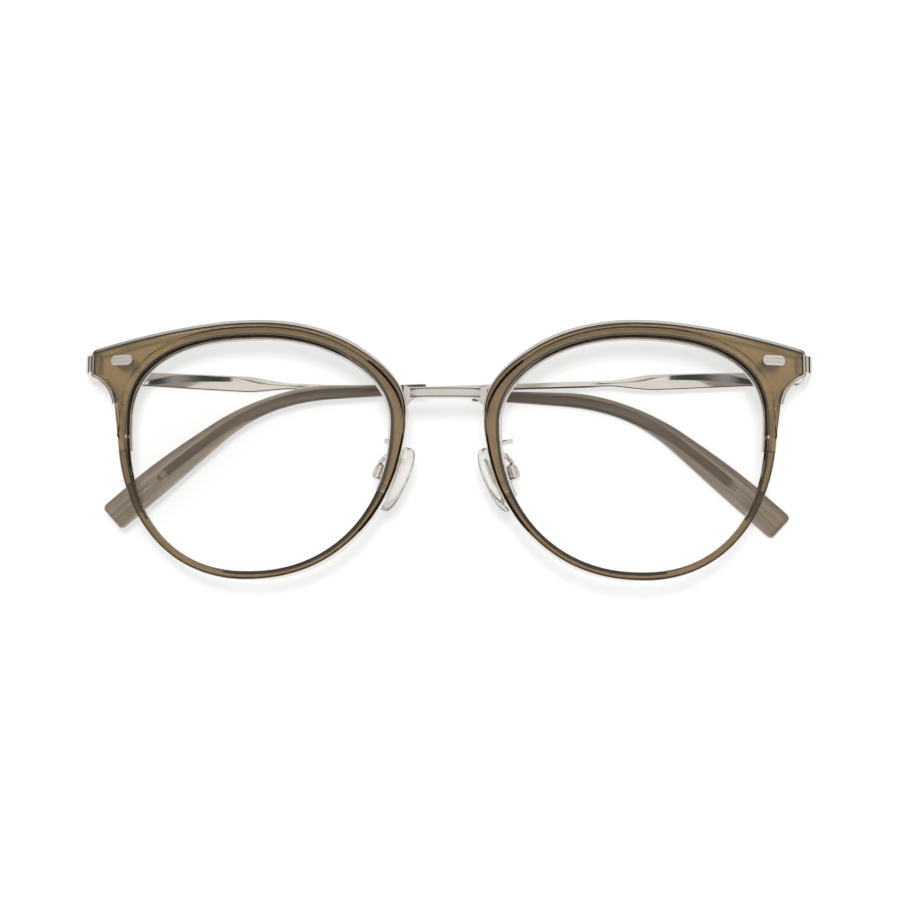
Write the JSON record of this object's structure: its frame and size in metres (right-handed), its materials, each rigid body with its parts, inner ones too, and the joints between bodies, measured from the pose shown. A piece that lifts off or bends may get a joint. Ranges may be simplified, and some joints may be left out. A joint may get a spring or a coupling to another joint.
{
  "type": "browline glasses",
  "caption": "Browline glasses lying folded: clear lenses in brown acetate rims with a silver bridge, nose pads and hinged temples that swing open.",
  "frame": {"origin": "middle of the bounding box in X and Y, on the table", "axes": "+X to the wearer's left, +Y up the front, +Z away from the table; the wearer's right temple lies flat on the table"},
  "size_m": [0.1389, 0.0494, 0.0263],
  "materials": {
    "acetate": "polished translucent olive-brown acetate",
    "tip_acetate": "polished translucent grey-brown acetate",
    "silver": "satin silver plating",
    "silver_bright": "polished silver plating",
    "steel": "plain",
    "lens": "clear polished lens plastic",
    "silicone": "clear soft silicone",
    "pad_plastic": "hard clear plastic core"
  },
  "bodies": {
    "front": {"bridge": "silver", "right_acetate_rim": "acetate", "left_acetate_rim": "acetate", "right_metal_rim": "silver", "left_metal_rim": "silver", "right_lens": "lens", "left_lens": "lens", "right_end_lug": "silver", "left_end_lug": "silver", "right_rivet_plaque": "silver_bright", "left_rivet_plaque": "silver_bright", "right_front_hinge": "steel", "left_front_hinge": "steel", "right_hinge_screw": "steel", "left_hinge_screw": "steel", "right_pad_arm": "silver", "left_pad_arm": "silver", "right_pad_box": "silver", "left_pad_box": "silver", "right_pad_screw": "steel", "left_pad_screw": "steel"},
    "right_temple": {"right_temple_hinge": "steel", "right_temple_arm": "silver", "right_temple_tip": "tip_acetate"},
    "right_pad": {"right_nose_pad": "silicone", "right_pad_insert": "pad_plastic"},
    "left_temple": {"left_temple_hinge": "steel", "left_temple_arm": "silver", "left_temple_tip": "tip_acetate"},
    "left_pad": {"left_nose_pad": "silicone", "left_pad_insert": "pad_plastic"}
  },
  "joints": [
    {"name": "right_temple_swing", "type": "hinge", "parent": "front", "child": "right_temple", "pos_m": [-0.06675, 0.0173, 0.0023], "axis": [0, 1, 0], "range_deg": [0, 91]},
    {"name": "left_temple_swing", "type": "hinge", "parent": "front", "child": "left_temple", "pos_m": [0.06724, 0.0173, 0.00698], "axis": [0, -1, 0], "range_deg": [0, 96]},
    {"name": "right_pad_rock", "type": "hinge", "parent": "front", "child": "right_pad", "pos_m": [-0.01269, -0.00366, 0.01686], "axis": [0.5029, -0.2149, 0.8372], "range_deg": [-6, 6]},
    {"name": "left_pad_rock", "type": "hinge", "parent": "front", "child": "left_pad", "pos_m": [0.0123, -0.00366, 0.01773], "axis": [-0.5601, -0.2149, 0.8001], "range_deg": [-6, 6]}
  ]
}
